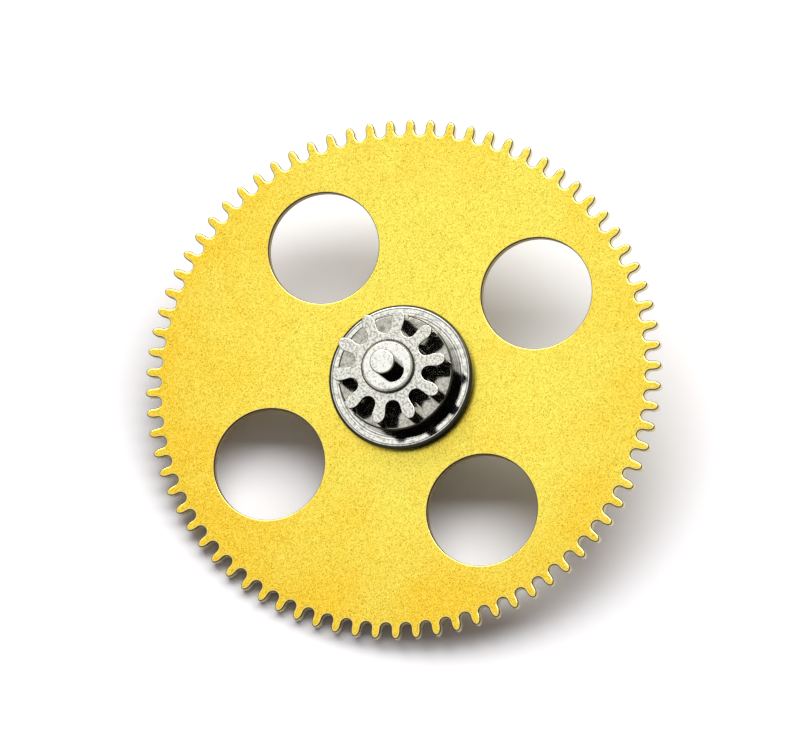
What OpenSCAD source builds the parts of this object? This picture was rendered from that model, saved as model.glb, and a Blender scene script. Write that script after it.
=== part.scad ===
// Watch driving wheel: a brass wheel with round windows, riveted to a stepped steel
// seat collar that is pressed on the arbor of a steel pinion.
// Millimetres. The arbor lies along Z with the pinion on the +Z side, the middle of the
// wheel's toothing is at Z = 0, and one round window lies on the +X axis.

/* [Wheel plate] */
// Number of teeth on the wheel
wheel_teeth = 78; // [72:1:84]
// Module of the wheel's teeth
wheel_module = 0.1; // [0.095:0.001:0.105]
// Height of a wheel tooth outside the pitch circle
wheel_addendum = 0.12; // [0.1:0.005:0.14]
// Depth of a wheel tooth inside the pitch circle
wheel_dedendum = 0.125; // [0.11:0.005:0.14]
// Share of the pitch that a wheel tooth fills at the pitch circle
wheel_tooth_share = 0.45; // [0.42:0.01:0.5]
// Turn of the first wheel tooth from the +X window
wheel_phase = 0; // [0:0.1:5]
// Thickness of the plate
plate_t = 0.18; // [0.14:0.01:0.24]
// Number of round windows
window_count = 4; // [3:1:5]
// Radius of a window
window_r = 0.86; // [0.7:0.01:0.95]
// Radius of the circle that the windows' centres lie on
window_circle_r = 2.42; // [2.3:0.02:2.5]
// Bevel around the rim of a window
window_bevel = 0.015; // [0.005:0.005:0.03]

/* [Seat collar] */
// Thickness of the flange that the plate is riveted against
flange_t = 0.18; // [0.12:0.01:0.26]
// Width of the flange outside the step
flange_ledge = 0.225; // [0.14:0.01:0.3]
// Height of the step that carries the pinion leaves
step_h = 0.34; // [0.2:0.01:0.5]
// Margin of the step outside the tips of the leaves
step_margin = 0.01; // [0:0.005:0.03]
// Wall of the spigot inside the plate's centre hole
seat_wall = 0.24; // [0.18:0.01:0.3]
// Width of the countersink in the plate's back that the rivet fills
sink_w = 0.07; // [0.04:0.01:0.1]
// Depth of the countersink
sink_h = 0.06; // [0.03:0.01:0.09]
// Width of the rivet lip outside the countersink
lip_w = 0.06; // [0.03:0.01:0.1]
// Thickness of the rivet lip behind the plate
lip_t = 0.07; // [0.04:0.01:0.1]

/* [Pinion] */
// Number of pinion leaves
leaf_count = 10; // [9:1:12]
// Module of the pinion leaves
leaf_module = 0.15; // [0.14:0.002:0.16]
// Height of a leaf outside the pitch circle
leaf_addendum = 0.135; // [0.11:0.005:0.15]
// Depth of a leaf inside the pitch circle
leaf_dedendum = 0.22; // [0.18:0.005:0.24]
// Share of the pitch that a leaf fills at the pitch circle
leaf_share = 0.44; // [0.38:0.01:0.48]
// Turn of the first leaf from the +X window
leaf_phase = 29.6; // [0:0.2:40]
// Length of the leaves along the arbor
leaf_l = 0.47; // [0.35:0.01:0.7]
// Chamfer at the front corner of the leaf tips
leaf_chamfer = 0.025; // [0.005:0.005:0.04]
// Radius of the raised boss on the pinion's front face
boss_r = 0.415; // [0.34:0.005:0.44]
// Height of the boss
boss_h = 0.09; // [0.06:0.01:0.15]
// Bevel around the front of the boss
boss_bevel = 0.05; // [0.02:0.005:0.055]

/* [Arbor] */
// Radius of the arbor inside the collar
arbor_r = 0.36; // [0.34:0.01:0.4]
// Length by which the thick arbor stands out behind the rivet lip
arbor_stand = 0.05; // [0.02:0.01:0.1]
// Radius of the slimmer arbor behind the collar
rear_arbor_r = 0.29; // [0.22:0.01:0.3]
// Distance from the plate's back to the rear shoulder
rear_arbor_l = 0.62; // [0.4:0.01:0.9]
// Radius of the front pivot
front_pivot_r = 0.195; // [0.12:0.005:0.25]
// Length of the front pivot
front_pivot_l = 0.365; // [0.25:0.005:0.5]
// Radius of the rear pivot
rear_pivot_r = 0.13; // [0.1:0.005:0.16]
// Length of the rear pivot
rear_pivot_l = 0.36; // [0.25:0.01:0.5]
// Radius of the round corner at both pivots' ends
pivot_corner = 0.04; // [0.02:0.005:0.06]
// Rise of the pivots' ends from that corner to the middle
pivot_crown = 0.006; // [0.002:0.001:0.02]

/* [Fits and edges] */
// Gap all round in the pressed and riveted seats
fit_gap = 0.004; // [0.002:0.001:0.008]
// Chamfer on turned corners
turned_edge = 0.02; // [0.01:0.005:0.03]

/* [Hidden] */
$fn = 96;

gilt_brass = [0.97, 0.86, 0.32];
turned_steel = [0.74, 0.74, 0.73];
polished_steel = [0.8, 0.8, 0.79];

// Straight runs in the curve of a tooth tip, a gap's bottom and a pivot's corner
tip_runs = 8;
root_runs = 6;
corner_runs = 6;
// Extra reach of a cutting solid past the face that it opens
cut = 0.05;

wheel_pitch_r = wheel_teeth * wheel_module / 2;
wheel_tip_r = wheel_pitch_r + wheel_addendum;
wheel_root_r = wheel_pitch_r - wheel_dedendum;
leaf_pitch_r = leaf_count * leaf_module / 2;
leaf_tip_r = leaf_pitch_r + leaf_addendum;
leaf_root_r = leaf_pitch_r - leaf_dedendum;

// Radii of the collar, from the arbor outwards and from the leaves inwards
bore_r = arbor_r + fit_gap;
seat_r = bore_r + seat_wall;
sink_r = seat_r + sink_w;
lip_r = sink_r + lip_w;
step_r = leaf_tip_r + step_margin;
flange_r = step_r + flange_ledge;

// Heights along the arbor, from the rear tip to the front tip
plate_front = plate_t / 2;
plate_back = -plate_t / 2;
lip_back = plate_back - lip_t;
arbor_end = lip_back - arbor_stand;
rear_shoulder = plate_back - rear_arbor_l;
rear_tip = rear_shoulder - rear_pivot_l;
flange_front = plate_front + flange_t;
step_front = flange_front + step_h;
leaf_front = step_front + leaf_l;
boss_front = leaf_front + boss_h;
front_tip = boss_front + front_pivot_l;

function turned(p, a) = [p.x * cos(a) - p.y * sin(a), p.x * sin(a) + p.y * cos(a)];

// Half an ellipse over the pitch circle, from one flank of a tooth to the other
function tip_curve(pitch_r, tip_r, half) =
    let (foot = pitch_r * cos(half), thick = pitch_r * sin(half))
    [for (i = [0:tip_runs])
        let (t = 180 - 180 * i / tip_runs)
        [foot + (tip_r - foot) * sin(t), thick * cos(t)]];

// Arc that is tangent to both radial flanks of a gap and touches the root circle
function root_curve(root_r, half) =
    let (arc_r = root_r * sin(half) / (1 - sin(half)))
    [for (i = [0:root_runs])
        let (t = -90 - half - (180 - 2 * half) * i / root_runs)
        [root_r + arc_r + arc_r * cos(t), arc_r * sin(t)]];

// End of a pivot, from its side round the corner to the middle. way is 1 up or -1 down
function pivot_end(r, tip, way) =
    concat(
        [for (i = [0:corner_runs])
            let (t = 90 * i / corner_runs)
            [r - pivot_corner * (1 - cos(t)),
             tip - way * (pivot_crown + pivot_corner * (1 - sin(t)))]],
        [[0, tip]]);

function reversed(points) = [for (i = [len(points) - 1:-1:0]) points[i]];

// Outline of a toothed wheel with radial flanks, rounded tips and round-bottomed gaps
module toothing(teeth, pitch_r, tip_r, root_r, share, phase) {
    half_tooth = share * 180 / teeth;
    half_gap = 180 / teeth - half_tooth;
    tip = tip_curve(pitch_r, tip_r, half_tooth);
    root = root_curve(root_r, half_gap);
    polygon([for (k = [0:teeth - 1]) each concat(
        [for (p = tip) turned(p, phase + 360 * k / teeth)],
        [for (p = root) turned(p, phase + 360 * (k + 0.5) / teeth)])]);
}

// Cutter for a round window, with a bevel at both faces of the plate
module window_cutter() {
    wide = window_r + window_bevel;
    rotate_extrude()
        polygon([
            [0, plate_back - cut],
            [wide, plate_back - cut],
            [wide, plate_back],
            [window_r, plate_back + window_bevel],
            [window_r, plate_front - window_bevel],
            [wide, plate_front],
            [wide, plate_front + cut],
            [0, plate_front + cut]]);
}

// Cutter for the centre hole, countersunk at the back for the rivet
module seat_cutter() {
    rotate_extrude()
        polygon([
            [0, plate_back - cut],
            [sink_r + fit_gap, plate_back - cut],
            [sink_r + fit_gap, plate_back],
            [seat_r + fit_gap, plate_back + sink_h],
            [seat_r + fit_gap, plate_front + cut],
            [0, plate_front + cut]]);
}

module wheel_plate() {
    color(gilt_brass)
        difference() {
            translate([0, 0, plate_back])
                linear_extrude(height = plate_t)
                    toothing(wheel_teeth, wheel_pitch_r, wheel_tip_r, wheel_root_r,
                             wheel_tooth_share, wheel_phase);
            for (k = [0:window_count - 1])
                rotate([0, 0, 360 * k / window_count])
                    translate([window_circle_r, 0, 0])
                        window_cutter();
            seat_cutter();
        }
}

// Flange and step in front of the plate, spigot through it, rivet lip behind it
module seat_collar() {
    color(turned_steel)
        rotate_extrude()
            polygon([
                [bore_r, lip_back + turned_edge],
                [bore_r + turned_edge, lip_back],
                [lip_r - turned_edge, lip_back],
                [lip_r, lip_back + turned_edge],
                [lip_r, plate_back],
                [sink_r, plate_back],
                [seat_r, plate_back + sink_h],
                [seat_r, plate_front],
                [flange_r, plate_front],
                [flange_r, flange_front - turned_edge],
                [flange_r - turned_edge, flange_front],
                [step_r, flange_front],
                [step_r, step_front - turned_edge],
                [step_r - turned_edge, step_front],
                [bore_r + turned_edge, step_front],
                [bore_r, step_front - turned_edge]]);
}

// Arbor from the rear pivot, through the collar, to the front pivot
module arbor() {
    rotate_extrude()
        polygon(concat(
            reversed(pivot_end(rear_pivot_r, rear_tip, -1)),
            [
                [rear_pivot_r, rear_shoulder],
                [rear_arbor_r - turned_edge, rear_shoulder],
                [rear_arbor_r, rear_shoulder + turned_edge],
                [rear_arbor_r, arbor_end],
                [arbor_r - turned_edge, arbor_end],
                [arbor_r, arbor_end + turned_edge],
                [arbor_r, leaf_front],
                [boss_r, leaf_front],
                [boss_r, boss_front - boss_bevel],
                [boss_r - boss_bevel, boss_front],
                [front_pivot_r, boss_front]],
            pivot_end(front_pivot_r, front_tip, 1)));
}

// Leaves cut right through, with their front corners turned off
module leaves() {
    intersection() {
        translate([0, 0, step_front])
            linear_extrude(height = leaf_l)
                toothing(leaf_count, leaf_pitch_r, leaf_tip_r, leaf_root_r,
                         leaf_share, leaf_phase);
        rotate_extrude()
            polygon([
                [0, step_front - cut],
                [leaf_tip_r + cut, step_front - cut],
                [leaf_tip_r + cut, leaf_front - leaf_chamfer - cut],
                [leaf_tip_r - leaf_chamfer, leaf_front],
                [0, leaf_front]]);
    }
}

module pinion() {
    color(polished_steel)
        union() {
            arbor();
            leaves();
        }
}

wheel_plate();
seat_collar();
pinion();
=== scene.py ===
import math

import bmesh
import bpy
from mathutils import Matrix, Vector
from mathutils.geometry import delaunay_2d_cdt


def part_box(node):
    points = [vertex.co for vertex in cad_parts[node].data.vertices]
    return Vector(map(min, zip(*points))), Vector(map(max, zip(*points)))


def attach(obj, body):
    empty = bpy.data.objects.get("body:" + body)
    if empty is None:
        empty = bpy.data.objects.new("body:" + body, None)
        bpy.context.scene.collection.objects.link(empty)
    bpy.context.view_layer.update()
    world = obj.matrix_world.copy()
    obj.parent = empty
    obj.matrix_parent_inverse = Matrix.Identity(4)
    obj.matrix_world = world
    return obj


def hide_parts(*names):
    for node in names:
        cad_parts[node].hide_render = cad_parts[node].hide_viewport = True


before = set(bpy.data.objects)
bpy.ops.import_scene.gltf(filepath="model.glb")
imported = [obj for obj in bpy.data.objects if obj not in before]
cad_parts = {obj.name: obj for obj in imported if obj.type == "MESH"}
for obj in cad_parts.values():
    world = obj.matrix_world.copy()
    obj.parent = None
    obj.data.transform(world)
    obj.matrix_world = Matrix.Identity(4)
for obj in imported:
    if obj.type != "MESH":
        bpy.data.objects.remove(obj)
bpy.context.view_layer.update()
scene = bpy.context.scene
scene.view_settings.view_transform = "Standard"

# The view: a long lens looks down on the wheel from the side opposite to the arbor's lean.
# The arbor stands a few pixels off the middle of the 800 x 752 picture, and leans 17 degrees
# towards its upper left corner.
MM = 0.001
UP = Vector((0, 0, 1))
PICTURE_WIDTH = 800
PIXELS_PER_MM = 65.8
CAMERA_DISTANCE = 480 * MM
CAMERA_AZIMUTH = math.radians(-72.12)
CAMERA_ELEVATION = math.radians(73.10)
CAMERA_ROLL = math.radians(-49.80)
AIM = Vector((0.0508, 0.0113, 0.1157)) * MM
SENSOR = 36.0
NEAR_CLIP = 10 * MM
FAR_CLIP = 2000 * MM

to_camera = Vector((
    math.sin(CAMERA_AZIMUTH) * math.cos(CAMERA_ELEVATION),
    -math.cos(CAMERA_AZIMUTH) * math.cos(CAMERA_ELEVATION),
    math.sin(CAMERA_ELEVATION)))
level_right = UP.cross(to_camera).normalized()
level_up = to_camera.cross(level_right)
camera_right = level_right * math.cos(CAMERA_ROLL) + level_up * math.sin(CAMERA_ROLL)
camera_up = to_camera.cross(camera_right)
camera_place = Matrix((camera_right, camera_up, to_camera)).transposed().to_4x4()
camera_place.translation = AIM + to_camera * CAMERA_DISTANCE

camera_data = bpy.data.cameras.new("camera")
camera_data.sensor_width = SENSOR
camera_data.lens = PIXELS_PER_MM * CAMERA_DISTANCE / MM * SENSOR / PICTURE_WIDTH
camera_data.clip_start = NEAR_CLIP
camera_data.clip_end = FAR_CLIP
camera = bpy.data.objects.new("camera", camera_data)
camera.matrix_world = camera_place
scene.collection.objects.link(camera)
scene.camera = camera

# Wheel plate: a thin disc stamped from hard brass, with four round windows. Its 78 teeth are
# cut by a hob, and the whole plate is frosted and gilt, so its faces carry a very fine grain
# and its corners are softened.
plate_low, plate_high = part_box("wheel_plate")
PLATE_FRONT = plate_high.z / MM
PLATE_BACK = plate_low.z / MM
WHEEL_TEETH = 78
WHEEL_PITCH_R = 3.9
WHEEL_TIP_R = 4.02
WHEEL_ROOT_R = 3.775
WHEEL_TOOTH_SHARE = 0.45
WHEEL_PHASE = 0.0
WINDOW_COUNT = 4
WINDOW_R = 0.86
WINDOW_CIRCLE_R = 2.42
SEAT_HOLE_R = 0.608
SINK_HOLE_R = 0.678
SINK_H = 0.06
PLATE_CORNER = 0.030
WINDOW_CORNER = 0.020
TIP_RUNS = 14
GAP_RUNS = 12
HOLE_RUNS = 128


def toothing(teeth, pitch_r, tip_r, root_r, share, phase, tip_runs, gap_runs):
    """Outline of straight teeth: radial flanks, elliptic tips, gaps with a round bottom."""
    half_tooth = math.pi / teeth * share
    half_gap = math.pi / teeth - half_tooth
    foot = pitch_r * math.cos(half_tooth)
    thick = pitch_r * math.sin(half_tooth)
    arc_r = root_r * math.sin(half_gap) / (1 - math.sin(half_gap))
    points = []
    for k in range(teeth):
        tooth_turn = math.radians(phase) + math.tau * k / teeth
        for i in range(tip_runs + 1):
            turn = math.pi * (1 - i / tip_runs)
            tip = Vector((foot + (tip_r - foot) * math.sin(turn), thick * math.cos(turn)))
            points.append(Matrix.Rotation(tooth_turn, 2) @ tip)
        gap_turn = tooth_turn + math.pi / teeth
        for i in range(gap_runs + 1):
            turn = -math.pi / 2 - half_gap - (math.pi - 2 * half_gap) * i / gap_runs
            root = Vector((root_r + arc_r + arc_r * math.cos(turn), arc_r * math.sin(turn)))
            points.append(Matrix.Rotation(gap_turn, 2) @ root)
    return points


def circle(radius, runs, centre=(0, 0)):
    """Points of a circle, counter-clockwise."""
    turns = [math.tau * i / runs for i in range(runs)]
    return [Vector((centre[0] + radius * math.cos(turn), centre[1] + radius * math.sin(turn)))
            for turn in turns]


SHARPEST_BEND = 0.3


def shifted(outline, distance):
    """A counter-clockwise outline moved inwards by distance."""
    moved = []
    for i, point in enumerate(outline):
        before = (point - outline[i - 1]).normalized()
        after = (outline[(i + 1) % len(outline)] - point).normalized()
        course = (before + after).normalized()
        inward = Vector((-course.y, course.x))
        moved.append(point + inward * distance / max(SHARPEST_BEND, course.dot(after)))
    return moved


def ring(bm, outline, z):
    """Corners of the mesh along an outline, at height z."""
    return [bm.verts.new((point.x, point.y, z)) for point in outline]


def wall(bm, lower, upper):
    """Faces between two rings that have as many points as each other."""
    for i in range(len(lower)):
        bm.faces.new((lower[i - 1], lower[i], upper[i], upper[i - 1])).smooth = True


INSIDE_ONLY = 1
MERGE_DISTANCE = 1e-7


def fill(bm, rings):
    """Flat face that the first ring bounds and the others pierce."""
    corners, loops = [], []
    for loop in rings:
        loops.append(list(range(len(corners), len(corners) + len(loop))))
        corners += loop
    places = [corner.co.xy for corner in corners]
    _, _, triangles, origins, _, owners = delaunay_2d_cdt(
        places, [], loops, INSIDE_ONLY, MERGE_DISTANCE, True)
    for triangle, owner in zip(triangles, owners):
        if owner == [0]:
            bm.faces.new([corners[origins[i][0]] for i in triangle]).smooth = False


CORNER_HOLD = 0.003
CORNER_RUNS = 4


def corner_steps(radius):
    """(inset, drop) pairs round a corner, from the side wall on to the flat face."""
    steps = [(0, radius + CORNER_HOLD)]
    for i in range(CORNER_RUNS + 1):
        turn = math.pi / 2 * i / CORNER_RUNS
        steps.append((radius * (1 - math.cos(turn)), radius * (1 - math.sin(turn))))
    return steps + [(radius + CORNER_HOLD, 0)]


SHARP_EDGE = math.radians(32)


def finished(bm, name, material, node):
    """A piece in millimetres becomes an object in metres that stands for its CAD node."""
    bmesh.ops.recalc_face_normals(bm, faces=bm.faces)
    mesh = bpy.data.meshes.new(name)
    bm.to_mesh(mesh)
    bm.free()
    mesh.transform(Matrix.Scale(MM, 4))
    mesh.set_sharp_from_angle(angle=SHARP_EDGE)
    mesh.materials.append(material)
    piece = bpy.data.objects.new(name, mesh)
    scene.collection.objects.link(piece)
    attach(piece, "root")
    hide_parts(node)


def edged_prism(bm, outline, back, front, corner, inward):
    """Side wall round or through a plate, with round corners. Gives its back and front rings."""
    sign = 1 if inward else -1
    steps = corner_steps(corner)
    levels = [(inset, back + drop) for inset, drop in reversed(steps)]
    levels += [(inset, front - drop) for inset, drop in steps]
    rings = [ring(bm, shifted(outline, sign * inset), z) for inset, z in levels]
    for lower, upper in zip(rings, rings[1:]):
        wall(bm, lower, upper)
    return rings[0], rings[-1]


def nodes_of(name):
    """A new material with its node tree and its shader."""
    material = bpy.data.materials.new(name)
    material.use_nodes = True
    tree = material.node_tree
    return material, tree, tree.nodes["Principled BSDF"]


def noise(tree, place, per_mm, detail, roughness):
    """Random cloudiness, from 0 to 1, with about so many clouds to the millimetre."""
    node = tree.nodes.new("ShaderNodeTexNoise")
    node.inputs["Scale"].default_value = per_mm
    node.inputs["Detail"].default_value = detail
    node.inputs["Roughness"].default_value = roughness
    tree.links.new(place, node.inputs["Vector"])
    return node.outputs["Fac"]


def ramp(tree, value, stops):
    """Colours or greys by value. stops are (value, colour or grey) pairs."""
    node = tree.nodes.new("ShaderNodeValToRGB")
    elements = node.color_ramp.elements
    while len(elements) < len(stops):
        elements.new(0.5)
    for element, (position, colour) in zip(elements, stops):
        element.position = position
        element.color = (*colour, 1) if isinstance(colour, tuple) else (colour,) * 3 + (1,)
    tree.links.new(value, node.inputs["Fac"])
    return node.outputs["Color"]


# Places of the sockets that a Mix node uses for colours.
MIX_SHARE = 0
MIX_COLOURS = (6, 7)
MIX_RESULT = 2


def mixed(tree, share, first, second, kind="MIX"):
    """Two colours mixed. share is a number or a socket, a colour a tuple or a socket."""
    node = tree.nodes.new("ShaderNodeMix")
    node.data_type = "RGBA"
    node.blend_type = kind
    if isinstance(share, (int, float)):
        node.inputs[MIX_SHARE].default_value = share
    else:
        tree.links.new(share, node.inputs[MIX_SHARE])
    for place, colour in zip(MIX_COLOURS, (first, second)):
        if isinstance(colour, tuple):
            node.inputs[place].default_value = (*colour, 1)
        else:
            tree.links.new(colour, node.inputs[place])
    return node.outputs[MIX_RESULT]


def darkened(tree, colour, pattern, stops):
    """A colour times what the stops make of a pattern."""
    return mixed(tree, 1.0, colour, ramp(tree, pattern, stops), "MULTIPLY")


def maths(tree, operation, first, second=0.0):
    """One operation on two sockets or numbers."""
    node = tree.nodes.new("ShaderNodeMath")
    node.operation = operation
    for socket, value in zip(node.inputs, (first, second)):
        if isinstance(value, (int, float)):
            socket.default_value = value
        else:
            tree.links.new(value, socket)
    return node.outputs["Value"]


def between(tree, value, low, high):
    """0 below low, 1 above high, and a steady rise from one to the other."""
    node = tree.nodes.new("ShaderNodeMapRange")
    node.inputs["From Min"].default_value = low
    node.inputs["From Max"].default_value = high
    tree.links.new(value, node.inputs["Value"])
    return node.outputs["Result"]


BUMP_STRENGTH = 0.5


def bumped(tree, pattern, depth):
    """The surface made uneven by a pattern."""
    node = tree.nodes.new("ShaderNodeBump")
    node.inputs["Distance"].default_value = depth
    node.inputs["Strength"].default_value = BUMP_STRENGTH
    tree.links.new(pattern, node.inputs["Height"])
    return node.outputs["Normal"]


def place_in_mm(tree):
    """Object coordinates in millimetres."""
    coordinates = tree.nodes.new("ShaderNodeTexCoord")
    scale = tree.nodes.new("ShaderNodeVectorMath")
    scale.operation = "SCALE"
    scale.inputs["Scale"].default_value = 1 / MM
    tree.links.new(coordinates.outputs["Object"], scale.inputs[0])
    return scale.outputs["Vector"]


def along(tree, vector, way):
    """How far a vector reaches in a direction."""
    node = tree.nodes.new("ShaderNodeVectorMath")
    node.operation = "DOT_PRODUCT"
    node.inputs[1].default_value = way
    tree.links.new(vector, node.inputs[0])
    return node.outputs["Value"]


def distance_from_axis(tree, place):
    """How far a place lies from the arbor's axis."""
    flat = tree.nodes.new("ShaderNodeVectorMath")
    flat.operation = "MULTIPLY"
    flat.inputs[1].default_value = (1, 1, 0)
    tree.links.new(place, flat.inputs[0])
    length = tree.nodes.new("ShaderNodeVectorMath")
    length.operation = "LENGTH"
    tree.links.new(flat.outputs["Vector"], length.inputs[0])
    return length.outputs["Value"]


def squareness(tree):
    """How squarely a surface faces along the arbor: 1 on a flat face, 0 on a side wall."""
    normals = tree.nodes.new("ShaderNodeTexCoord")
    return maths(tree, "ABSOLUTE", along(tree, normals.outputs["Normal"], UP))


# Stops, here and below, are (value of a pattern or squareness of the surface, colour or grey)
# pairs.
UNCHANGED = (1.0, 1.0, 1.0)
GILT_TONES = [(0.12, (0.845, 0.565, 0.038)), (0.54, (0.870, 0.730, 0.100))]
GILT_SPECKLES = [(0.34, (0.86, 0.78, 0.57)), (0.52, UNCHANGED)]
GILT_PITS = [(0.32, (0.30, 0.22, 0.10)), (0.445, UNCHANGED)]
# Painted glints: pale flecks where the pits' pattern is high, standing for light sparkling off
# the frosted grain.
GILT_PAINTED_GLINTS = [(0.56, 0.0), (0.68, 0.5)]
PAINTED_GLINT_COLOUR = (1.0, 0.92, 0.34)
CLOUDS_PER_MM = 0.8
GRAIN_PER_MM = 38.0
PITS_PER_MM = 62.0
GRAIN_DEPTH = 0.004 * MM
DEEP_SIDE = math.radians(104)
DEEP_SIDE_REACH = 22
DEEP_RIM = (2.3, 4.0)
DEEP_RIM_SHARE = 0.32

gilt, tree, shader = nodes_of("gilt_brass")
place = place_in_mm(tree)
cloud = noise(tree, place, CLOUDS_PER_MM, detail=4.0, roughness=0.6)
grain = noise(tree, place, GRAIN_PER_MM, detail=2.0, roughness=0.7)
pits = noise(tree, place, PITS_PER_MM, detail=2.0, roughness=0.8)
deep_way = (math.cos(DEEP_SIDE) / DEEP_SIDE_REACH, math.sin(DEEP_SIDE) / DEEP_SIDE_REACH, 0)
paleness = maths(tree, "SUBTRACT", cloud, along(tree, place, deep_way))
from_axis = distance_from_axis(tree, place)
near_rim = between(tree, from_axis, *DEEP_RIM)
paleness = maths(tree, "SUBTRACT", paleness, maths(tree, "MULTIPLY", near_rim, DEEP_RIM_SHARE))
colour = ramp(tree, paleness, GILT_TONES)
colour = darkened(tree, colour, grain, GILT_SPECKLES)
colour = darkened(tree, colour, pits, GILT_PITS)
# Painted glints on the gilt.
colour = mixed(tree, ramp(tree, pits, GILT_PAINTED_GLINTS), colour, PAINTED_GLINT_COLOUR)

# Painted shade and highlight at the plate's edges: the windows' walls are painted a darker gilt,
# with a band of deeper painted shade along their top, and the corners of windows and teeth carry
# a dark line of painted shade with a painted highlight next to the face.
WINDOWS_TO_TEETH = (3.4, 3.6)
TOP_OF_WALL = (PLATE_FRONT - 0.055, PLATE_FRONT - 0.035)
SHADED_WINDOW_SIDES = (0.45, 0.34, 0.15)
WINDOW_TOP_SHADE = (0.05, 0.035, 0.018)
WINDOW_OFF_WALL = [(0.05, 0.0), (0.12, 1.0)]
WINDOW_RIM_SHADE_AND_HIGHLIGHT = [(0.86, (0.03, 0.02, 0.015)), (0.95, (0.90, 0.76, 0.28))]
# On the teeth: the pale wall, then painted shade on the corner and a painted highlight next to
# the face.
TOOTH_SHADE_AND_HIGHLIGHT = [
    (0.05, (0.84, 0.75, 0.48)), (0.15, (0.12, 0.09, 0.03)), (0.80, (0.12, 0.085, 0.03)),
    (0.90, (0.93, 0.80, 0.32)), (0.97, (0.90, 0.76, 0.18))]
GILT_FACE = [(0.965, 0.0), (0.99, 1.0)]
GILT_FACE_ROUGHNESS = [(0.2, 0.31), (0.8, 0.26)]
GILT_EDGE_ROUGHNESS = [(0.05, 0.50), (0.20, 0.15)]

square_on = squareness(tree)
top_of_wall = between(tree, along(tree, place, UP), *TOP_OF_WALL)
# Painted shade on the windows' walls, and painted shade and highlight on the plate's corners.
shaded_window_sides = mixed(tree, top_of_wall, SHADED_WINDOW_SIDES, WINDOW_TOP_SHADE)
window_rim_shade_and_highlight = ramp(tree, square_on, WINDOW_RIM_SHADE_AND_HIGHLIGHT)
on_corner = ramp(tree, square_on, WINDOW_OFF_WALL)
window_shade_and_highlight = mixed(tree, on_corner, shaded_window_sides, window_rim_shade_and_highlight)
tooth_shade_and_highlight = ramp(tree, square_on, TOOTH_SHADE_AND_HIGHLIGHT)
edge = mixed(tree, between(tree, from_axis, *WINDOWS_TO_TEETH), window_shade_and_highlight, tooth_shade_and_highlight)
on_face = ramp(tree, square_on, GILT_FACE)
tree.links.new(mixed(tree, on_face, edge, colour), shader.inputs["Base Color"])
face_roughness = ramp(tree, cloud, GILT_FACE_ROUGHNESS)
edge_roughness = ramp(tree, square_on, GILT_EDGE_ROUGHNESS)
tree.links.new(mixed(tree, on_face, edge_roughness, face_roughness), shader.inputs["Roughness"])
tree.links.new(bumped(tree, grain, GRAIN_DEPTH), shader.inputs["Normal"])
shader.inputs["Metallic"].default_value = 1.0

bm = bmesh.new()
teeth = toothing(WHEEL_TEETH, WHEEL_PITCH_R, WHEEL_TIP_R, WHEEL_ROOT_R,
                 WHEEL_TOOTH_SHARE, WHEEL_PHASE, TIP_RUNS, GAP_RUNS)
back, front = edged_prism(bm, teeth, PLATE_BACK, PLATE_FRONT, PLATE_CORNER, True)
backs, fronts = [back], [front]
for k in range(WINDOW_COUNT):
    turn = math.tau * k / WINDOW_COUNT
    centre = (WINDOW_CIRCLE_R * math.cos(turn), WINDOW_CIRCLE_R * math.sin(turn))
    window = circle(WINDOW_R, HOLE_RUNS, centre)
    back, front = edged_prism(bm, window, PLATE_BACK, PLATE_FRONT, WINDOW_CORNER, False)
    backs.append(back)
    fronts.append(front)
seat_rings = [ring(bm, circle(SINK_HOLE_R, HOLE_RUNS), PLATE_BACK),
              ring(bm, circle(SEAT_HOLE_R, HOLE_RUNS), PLATE_BACK + SINK_H),
              ring(bm, circle(SEAT_HOLE_R, HOLE_RUNS), PLATE_FRONT)]
for lower, upper in zip(seat_rings, seat_rings[1:]):
    wall(bm, lower, upper)
backs.append(seat_rings[0])
fronts.append(seat_rings[-1])
fill(bm, backs)
fill(bm, fronts)
finished(bm, "gilt_wheel_plate", gilt, "wheel_plate")

# Seat collar: turned from steel bar, with a flange that the plate is riveted against and a
# step that carries the pinion. A spigot passes through the plate and is spread into a lip
# at its back. The flange and the step are polished on a lathe.
BORE_R = 0.364
SEAT_R = 0.604
SINK_R = 0.674
LIP_R = 0.734
LIP_H = 0.07
STEP_R = 0.895
STEP_H = 0.34
FLANGE_R = 1.12
FLANGE_H = 0.18
LIP_BACK = PLATE_BACK - LIP_H
FLANGE_FRONT = PLATE_FRONT + FLANGE_H
STEP_FRONT = FLANGE_FRONT + STEP_H
BORE_ROUNDING = 0.015
LIP_ROUNDING = 0.02
FLANGE_BACK_ROUNDING = 0.01
FLANGE_ROUNDING = 0.055
STEP_ROUNDING = 0.03
ROUNDING_RUNS = 5
COLLAR_RUNS = 192


def softened(corners):
    """A turned profile. Each corner is (r, z, radius of its rounding)."""
    points = []
    for i, (r, z, radius) in enumerate(corners):
        here = Vector((r, z))
        if radius == 0:
            points.append(here)
            continue
        before = (Vector(corners[i - 1][:2]) - here).normalized()
        after = (Vector(corners[(i + 1) % len(corners)][:2]) - here).normalized()
        half = before.angle(after) / 2
        reach = radius / math.tan(half)
        centre = here + (before + after).normalized() * radius / math.sin(half)
        start = here + before * reach - centre
        end = here + after * reach - centre
        points.append(centre + start + before * CORNER_HOLD)
        sweep = start.angle_signed(end)
        for k in range(ROUNDING_RUNS + 1):
            points.append(centre + Matrix.Rotation(-sweep * k / ROUNDING_RUNS, 2) @ start)
        points.append(centre + end + after * CORNER_HOLD)
    return points


ON_AXIS = 1e-6


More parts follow.
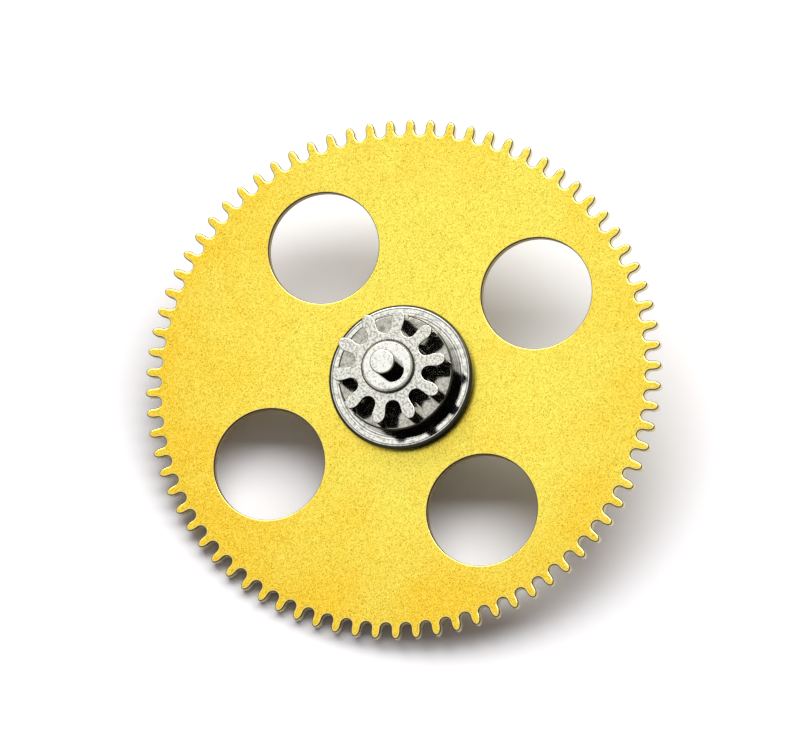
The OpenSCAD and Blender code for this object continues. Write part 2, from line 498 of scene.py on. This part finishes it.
def lathe(bm, profile, runs, closed=False):
    """Turns a profile of (r, z) points round the axis. Gives its first and last rings."""
    rings = []
    for r, z in profile:
        if r < ON_AXIS:
            rings.append([bm.verts.new((0, 0, z))])
        else:
            rings.append(ring(bm, circle(r, runs), z))
    pairs = list(zip(rings, rings[1:]))
    if closed:
        pairs.append((rings[-1], rings[0]))
    for lower, upper in pairs:
        if len(lower) == 1 or len(upper) == 1:
            pole, loop = (lower[0], upper) if len(lower) == 1 else (upper[0], lower)
            for i in range(len(loop)):
                bm.faces.new((loop[i - 1], loop[i], pole)).smooth = True
        else:
            wall(bm, lower, upper)
    return rings[0], rings[-1]


TURNED_LINES_PER_MM = 46.0
TURNED_DETAIL = 3.0
STAINS_PER_MM = 6.0
GRIT_PER_MM = 24.0
LINE_DEPTH = 0.0008 * MM
FLANGE_TO_STEP = (FLANGE_FRONT + 0.1, FLANGE_FRONT + 0.2)
FLANGE_STAINS = [(0.3, (0.84, 0.83, 0.76)), (0.6, (1.0, 1.0, 0.93))]
FLANGE_GRIT = [(0.34, (0.50, 0.49, 0.46)), (0.52, UNCHANGED)]
FLANGE_LINES = [(0.40, (0.34, 0.33, 0.31)), (0.48, UNCHANGED)]
STEP_TONES = [(0.34, (0.30, 0.28, 0.235)), (0.66, (0.68, 0.66, 0.595))]
# Painted shade: the collar's side walls are painted dark, and the corners between them and the
# faces darker still.
COLLAR_SIDE_SHADE = [(0.02, (0.13, 0.125, 0.105)), (0.12, (0.035, 0.033, 0.026))]
COLLAR_FACE = [(0.965, 0.0), (0.995, 1.0)]
FLANGE_ROUGHNESS = [(0.3, 0.05), (0.7, 0.10)]
STEP_ROUGHNESS = (0.10, 0.10, 0.10)

turned_steel, tree, shader = nodes_of("turned_steel")
place = place_in_mm(tree)
lines = tree.nodes.new("ShaderNodeTexNoise")
lines.noise_dimensions = "1D"
lines.inputs["Scale"].default_value = TURNED_LINES_PER_MM
lines.inputs["Detail"].default_value = TURNED_DETAIL
tree.links.new(distance_from_axis(tree, place), lines.inputs["W"])
turned_lines = lines.outputs["Fac"]
stain = noise(tree, place, STAINS_PER_MM, detail=3.0, roughness=0.5)
grit = noise(tree, place, GRIT_PER_MM, detail=3.0, roughness=0.7)
flange_colour = ramp(tree, stain, FLANGE_STAINS)
flange_colour = darkened(tree, flange_colour, grit, FLANGE_GRIT)
flange_colour = darkened(tree, flange_colour, turned_lines, FLANGE_LINES)
step_colour = ramp(tree, grit, STEP_TONES)
on_step = between(tree, along(tree, place, UP), *FLANGE_TO_STEP)
face_colour = mixed(tree, on_step, flange_colour, step_colour)
square_on = squareness(tree)
# Painted shade on the side walls and corners.
collar_side_shade = ramp(tree, square_on, COLLAR_SIDE_SHADE)
on_face = ramp(tree, square_on, COLLAR_FACE)
tree.links.new(mixed(tree, on_face, collar_side_shade, face_colour), shader.inputs["Base Color"])
flange_roughness = ramp(tree, stain, FLANGE_ROUGHNESS)
tree.links.new(mixed(tree, on_step, flange_roughness, STEP_ROUGHNESS), shader.inputs["Roughness"])
tree.links.new(bumped(tree, turned_lines, LINE_DEPTH), shader.inputs["Normal"])
shader.inputs["Metallic"].default_value = 1.0

bm = bmesh.new()
collar_profile = softened([
    (BORE_R, LIP_BACK, BORE_ROUNDING),
    (LIP_R, LIP_BACK, LIP_ROUNDING),
    (LIP_R, PLATE_BACK, 0),
    (SINK_R, PLATE_BACK, 0),
    (SEAT_R, PLATE_BACK + SINK_H, 0),
    (SEAT_R, PLATE_FRONT, 0),
    (FLANGE_R, PLATE_FRONT, FLANGE_BACK_ROUNDING),
    (FLANGE_R, FLANGE_FRONT, FLANGE_ROUNDING),
    (STEP_R, FLANGE_FRONT, 0),
    (STEP_R, STEP_FRONT, STEP_ROUNDING),
    (BORE_R, STEP_FRONT, BORE_ROUNDING)])
lathe(bm, collar_profile, COLLAR_RUNS, closed=True)
finished(bm, "steel_seat_collar", turned_steel, "seat_collar")

# Pinion: one bar of hardened steel. Ten leaves are milled into its head and polished, the
# head's front is faced off round a raised boss, and a pivot is turned and burnished at
# each end of the arbor.
LEAF_COUNT = 10
LEAF_PITCH_R = 0.75
LEAF_TIP_R = 0.885
LEAF_ROOT_R = 0.53
LEAF_SHARE = 0.44
LEAF_PHASE = 29.6
LEAF_H = 0.47
LEAF_CORNER = 0.014
LEAF_TIP_RUNS = 24
LEAF_GAP_RUNS = 20
BOSS_R = 0.415
BOSS_H = 0.09
BOSS_BEVEL = 0.05
BOSS_ROUNDING = 0.006
ARBOR_R = 0.36
ARBOR_PAST_LIP = 0.05
REAR_ARBOR_R = 0.29
REAR_ARBOR_H = 0.62
ARBOR_ROUNDING = 0.02
FRONT_PIVOT_R = 0.195
REAR_PIVOT_R = 0.13
PIVOT_CORNER = 0.04
PIVOT_CROWN = 0.006
PIVOT_CORNER_RUNS = 8
PIVOT_CROWN_RUNS = 4
PINION_RUNS = 128
LEAF_FRONT = STEP_FRONT + LEAF_H
BOSS_FRONT = LEAF_FRONT + BOSS_H
ARBOR_END = LIP_BACK - ARBOR_PAST_LIP
REAR_SHOULDER = PLATE_BACK - REAR_ARBOR_H
pinion_low, pinion_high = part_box("pinion")
REAR_TIP = pinion_low.z / MM
FRONT_TIP = pinion_high.z / MM


def pivot_end(radius, tip, way):
    """Profile of a pivot's end, from its side round the corner to the middle."""
    points = []
    for i in range(PIVOT_CORNER_RUNS + 1):
        turn = math.pi / 2 * i / PIVOT_CORNER_RUNS
        points.append(Vector((
            radius - PIVOT_CORNER * (1 - math.cos(turn)),
            tip - way * (PIVOT_CROWN + PIVOT_CORNER * (1 - math.sin(turn))))))
    flat_r = radius - PIVOT_CORNER
    for i in range(1, PIVOT_CROWN_RUNS + 1):
        r = flat_r * (1 - i / PIVOT_CROWN_RUNS)
        points.append(Vector((r, tip - way * PIVOT_CROWN * (r / flat_r) ** 2)))
    return points


STEEL_GRAIN_PER_MM = 26.0
LEAF_GRAIN_DEPTH = 0.003 * MM
TOP_OF_LEAF = (LEAF_FRONT - 0.055, LEAF_FRONT - 0.04)
ABOVE_LEAVES = (LEAF_FRONT + 0.004, LEAF_FRONT + 0.012)
UPPER_BEVEL = (BOSS_FRONT - 0.034, BOSS_FRONT - 0.020)
ABOVE_BOSS = (BOSS_FRONT + 0.002, BOSS_FRONT + 0.01)
NOWHERE = (0.0, 0.0, 0.0)
LEAF_FACE = [(0.90, 0.0), (0.97, 1.0)]
LEAF_FACE_TONES = [(0.38, (0.32, 0.31, 0.265)), (0.56, (0.82, 0.81, 0.735))]
LEAF_FACE_ROUGHNESS = [(0.3, 0.30), (0.7, 0.20)]
POLISHED_ROUGHNESS = (0.05, 0.05, 0.05)

polished_steel, tree, shader = nodes_of("polished_steel")
place = place_in_mm(tree)
square_on = squareness(tree)
height = along(tree, place, UP)
grain = noise(tree, place, STEEL_GRAIN_PER_MM, detail=3.0, roughness=0.65)
above_leaves = between(tree, height, *ABOVE_LEAVES)
above_boss = between(tree, height, *ABOVE_BOSS)
on_leaf_face = mixed(tree, above_leaves, ramp(tree, square_on, LEAF_FACE), NOWHERE)
face_colour = ramp(tree, grain, LEAF_FACE_TONES)

# Everything but the leaves' faces is bright steel with painted shade: the leaves' walls turn dark
# near their top, and so does every wall above them, on the boss and the front pivot; the leaves'
# corners, the boss's bevel and the pivots' rounded ends are painted dark as well.
STEEL_BRIGHT = (0.97, 0.96, 0.90)
STEEL_STAINS = [(0.34, (0.52, 0.51, 0.46)), (0.48, UNCHANGED)]
STEEL_OFF_WALL = [(0.08, 0.0), (0.20, 1.0)]
LEAF_WALL = (0.88, 0.87, 0.80)
LEAF_TOP_SHADE = (0.12, 0.117, 0.10)
LEAF_CORNER_SHADE = [(0.84, (0.05, 0.048, 0.04)), (0.93, STEEL_BRIGHT)]
BEVEL_FOOT_SHADE = (0.04, 0.038, 0.030)
BEVEL_TOP_SHADE = (0.48, 0.47, 0.40)
BOSS_FACE = [(0.80, 0.0), (0.96, 1.0)]
PIVOT_CORNER_SHADE = [
    (0.72, (0.12, 0.115, 0.095)), (0.88, (0.80, 0.79, 0.72)), (0.96, STEEL_BRIGHT)]

# Painted shade on the walls, corners, bevel and pivot ends.
leaf_walls_with_top_shade = mixed(tree, between(tree, height, *TOP_OF_LEAF), LEAF_WALL, LEAF_TOP_SHADE)
painted_leaf_corners = ramp(tree, square_on, LEAF_CORNER_SHADE)
bevel_shade = mixed(tree, between(tree, height, *UPPER_BEVEL), BEVEL_FOOT_SHADE, BEVEL_TOP_SHADE)
boss_with_shade = mixed(tree, ramp(tree, square_on, BOSS_FACE), bevel_shade, STEEL_BRIGHT)
pivot_shade = ramp(tree, square_on, PIVOT_CORNER_SHADE)
corners_with_shade = mixed(tree, above_leaves, painted_leaf_corners, boss_with_shade)
corners_with_shade = mixed(tree, above_boss, corners_with_shade, pivot_shade)
off_wall = ramp(tree, square_on, STEEL_OFF_WALL)
steel_stains_and_shade = mixed(tree, off_wall, leaf_walls_with_top_shade, corners_with_shade)
steel_stains_and_shade = darkened(tree, steel_stains_and_shade, grain, STEEL_STAINS)
tree.links.new(mixed(tree, on_leaf_face, steel_stains_and_shade, face_colour), shader.inputs["Base Color"])
face_roughness = ramp(tree, grain, LEAF_FACE_ROUGHNESS)
tree.links.new(mixed(tree, on_leaf_face, POLISHED_ROUGHNESS, face_roughness),
               shader.inputs["Roughness"])
leaf_grain = maths(tree, "MULTIPLY", grain, on_leaf_face)
tree.links.new(bumped(tree, leaf_grain, LEAF_GRAIN_DEPTH), shader.inputs["Normal"])
shader.inputs["Metallic"].default_value = 1.0

bm = bmesh.new()
rear_profile = list(reversed(pivot_end(REAR_PIVOT_R, REAR_TIP, -1)))
rear_profile += softened([
    (REAR_PIVOT_R, REAR_TIP + PIVOT_CROWN + PIVOT_CORNER, 0),
    (REAR_PIVOT_R, REAR_SHOULDER, 0),
    (REAR_ARBOR_R, REAR_SHOULDER, ARBOR_ROUNDING),
    (REAR_ARBOR_R, ARBOR_END, 0),
    (ARBOR_R, ARBOR_END, ARBOR_ROUNDING),
    (ARBOR_R, STEP_FRONT, 0)])[1:]
front_profile = softened([
    (BOSS_R, LEAF_FRONT, 0),
    (BOSS_R, BOSS_FRONT - BOSS_BEVEL, BOSS_ROUNDING),
    (BOSS_R - BOSS_BEVEL, BOSS_FRONT, BOSS_ROUNDING),
    (FRONT_PIVOT_R, BOSS_FRONT, 0),
    (FRONT_PIVOT_R, FRONT_TIP - PIVOT_CROWN - PIVOT_CORNER, 0)])
front_profile += pivot_end(FRONT_PIVOT_R, FRONT_TIP, 1)[1:]
rear_end = lathe(bm, rear_profile, PINION_RUNS)[1]
front_end = lathe(bm, front_profile, PINION_RUNS)[0]
leaves = toothing(LEAF_COUNT, LEAF_PITCH_R, LEAF_TIP_R, LEAF_ROOT_R,
                  LEAF_SHARE, LEAF_PHASE, LEAF_TIP_RUNS, LEAF_GAP_RUNS)
leaf_back, leaf_front = edged_prism(bm, leaves, STEP_FRONT, LEAF_FRONT, LEAF_CORNER, True)
fill(bm, [leaf_back, rear_end])
fill(bm, [leaf_front, front_end])
finished(bm, "steel_pinion", polished_steel, "pinion")

# The table: a plain white sheet, which doesn't show from below. The wheel lies on its rear
# pivot and on its rim at the lower left of the picture, so the sheet rises to that side.
RISE_SIDE = math.radians(117.1)
TABLE_SIZE = 0.10
TABLE_SEEN = (1.08, 1.08, 1.09)
TABLE_WHITE = (0.95, 0.95, 0.95)
TABLE_AGAIN = (0.40, 0.40, 0.40)
# Bounces are whole numbers, so this lies between none and one.
ONE_BOUNCE = 0.5

table_tilt = math.atan2(PLATE_BACK - REAR_TIP, WHEEL_TIP_R - REAR_PIVOT_R)
downhill = Vector((-math.cos(RISE_SIDE), -math.sin(RISE_SIDE), 0))
table_normal = (UP * math.cos(table_tilt) + downhill * math.sin(table_tilt)).normalized()
rim_contact = Vector((-downhill.x * WHEEL_TIP_R, -downhill.y * WHEEL_TIP_R, PLATE_BACK)) * MM

# The camera sees the sheet pure white. Light that comes off it a second time is weaker, which
# keeps the shade under the wheel deep.
table_material, tree, shader = nodes_of("white_table")
tree.nodes.remove(shader)
white = tree.nodes.new("ShaderNodeBsdfDiffuse")
light_path = tree.nodes.new("ShaderNodeLightPath")
bounced = maths(tree, "GREATER_THAN", light_path.outputs["Diffuse Depth"], ONE_BOUNCE)
lit_colour = mixed(tree, bounced, TABLE_WHITE, TABLE_AGAIN)
tree.links.new(mixed(tree, light_path.outputs["Is Camera Ray"], lit_colour, TABLE_SEEN),
               white.inputs["Color"])
sides = tree.nodes.new("ShaderNodeNewGeometry")
one_sided = tree.nodes.new("ShaderNodeMixShader")
tree.links.new(sides.outputs["Backfacing"], one_sided.inputs[0])
tree.links.new(white.outputs[0], one_sided.inputs[1])
tree.links.new(tree.nodes.new("ShaderNodeBsdfTransparent").outputs[0], one_sided.inputs[2])
tree.links.new(one_sided.outputs[0], tree.nodes["Material Output"].inputs["Surface"])

bm = bmesh.new()
bmesh.ops.create_grid(bm, x_segments=1, y_segments=1, size=TABLE_SIZE / 2)
table_mesh = bpy.data.meshes.new("table")
bm.to_mesh(table_mesh)
bm.free()
table_mesh.materials.append(table_material)
table = bpy.data.objects.new("table", table_mesh)
table.rotation_mode = "QUATERNION"
table.rotation_quaternion = table_normal.to_track_quat("Z", "Y")
table.location = rim_contact
scene.collection.objects.link(table)

# The light: one wide soft lamp, as a window gives, over the top of the picture, in a pale room.
# The room is white where it is seen or mirrored, and weak as the light that fills the shadows.
KEY_LEAN = math.radians(56.5)
KEY_SIDE = math.radians(84.6)
KEY_DISTANCE = 0.50
KEY_WIDTH = 0.86
KEY_HEIGHT = 0.36
KEY_POWER = 4.0
ROOM_LIGHT = 0.19
ROOM_SEEN = 1.0
ROOM_WHITE = (1.0, 1.0, 1.0)
ROOM_COLOUR = (1.01, 0.91, 0.97)
ROOM_NEAR_TABLE = [(0.0, 0.55), (0.18, 1.0)]

picture_side = camera_right * math.cos(KEY_SIDE) + camera_up * math.sin(KEY_SIDE)
key_way = to_camera * math.cos(KEY_LEAN) + picture_side * math.sin(KEY_LEAN)
key_data = bpy.data.lights.new("window_light", "AREA")
key_data.shape = "RECTANGLE"
key_data.size = KEY_WIDTH
key_data.size_y = KEY_HEIGHT
key_data.energy = KEY_POWER
key = bpy.data.objects.new("window_light", key_data)
key_level = key_way.cross(to_camera).normalized()
key_place = Matrix((key_level, key_way.cross(key_level), key_way)).transposed().to_4x4()
key_place.translation = key_way * KEY_DISTANCE
key.matrix_world = key_place
scene.collection.objects.link(key)

world = bpy.data.worlds.new("pale_room")
scene.world = world
world.use_nodes = True
tree = world.node_tree
background = tree.nodes["Background"]
light_path = tree.nodes.new("ShaderNodeLightPath")
undiffused = maths(tree, "LESS_THAN", light_path.outputs["Diffuse Depth"], ONE_BOUNCE)
mirrored = maths(tree, "MULTIPLY", light_path.outputs["Is Glossy Ray"], undiffused)
seen = maths(tree, "MAXIMUM", light_path.outputs["Is Camera Ray"], mirrored)
strength = tree.nodes.new("ShaderNodeMapRange")
strength.inputs["To Min"].default_value = ROOM_LIGHT
strength.inputs["To Max"].default_value = ROOM_SEEN
tree.links.new(seen, strength.inputs["Value"])
tree.links.new(strength.outputs["Result"], background.inputs["Strength"])
directions = tree.nodes.new("ShaderNodeTexCoord")
above_table = along(tree, directions.outputs["Generated"], table_normal)
dimmed = ramp(tree, above_table, ROOM_NEAR_TABLE)
room_colour = mixed(tree, light_path.outputs["Is Glossy Ray"], ROOM_WHITE, dimmed)
tree.links.new(mixed(tree, light_path.outputs["Is Diffuse Ray"], room_colour, ROOM_COLOUR),
               background.inputs["Color"])

# A black disc above the wheel, where the camera's body would be, that serves as painted shade. It
# shows only where steel mirrors steel, so the gaps between the leaves are dark and the flat faces
# stay bright.
DISC_DISTANCE = 0.06
DISC_HALF_ANGLE = math.radians(35)
DISC_LEAN = math.radians(12)
DISC_SIDE = math.radians(-90)
DISC_BLACK = (0.01, 0.01, 0.01, 1)
DISC_RUNS = 64
# As above, between one bounce and two.
TWO_BOUNCES = 1.5

disc_side = camera_right * math.cos(DISC_SIDE) + camera_up * math.sin(DISC_SIDE)
disc_way = to_camera * math.cos(DISC_LEAN) + disc_side * math.sin(DISC_LEAN)
disc_material, tree, shader = nodes_of("gap_shade_disc")
shader.inputs["Base Color"].default_value = DISC_BLACK
shader.inputs["Specular IOR Level"].default_value = 0.0
light_path = tree.nodes.new("ShaderNodeLightPath")
in_gaps = tree.nodes.new("ShaderNodeMixShader")
tree.links.new(maths(tree, "GREATER_THAN", light_path.outputs["Glossy Depth"], TWO_BOUNCES),
               in_gaps.inputs[0])
tree.links.new(tree.nodes.new("ShaderNodeBsdfTransparent").outputs[0], in_gaps.inputs[1])
tree.links.new(shader.outputs[0], in_gaps.inputs[2])
tree.links.new(in_gaps.outputs[0], tree.nodes["Material Output"].inputs["Surface"])

bm = bmesh.new()
bmesh.ops.create_circle(bm, cap_ends=True, segments=DISC_RUNS,
                        radius=DISC_DISTANCE * math.tan(DISC_HALF_ANGLE))
disc_mesh = bpy.data.meshes.new("gap_shade_disc")
bm.to_mesh(disc_mesh)
bm.free()
disc_mesh.materials.append(disc_material)
disc = bpy.data.objects.new("gap_shade_disc", disc_mesh)
disc.rotation_mode = "QUATERNION"
disc.rotation_quaternion = disc_way.to_track_quat("Z", "Y")
disc.location = disc_way * DISC_DISTANCE
disc.visible_camera = False
disc.visible_diffuse = False
disc.visible_shadow = False
disc.visible_transmission = False
scene.collection.objects.link(disc)
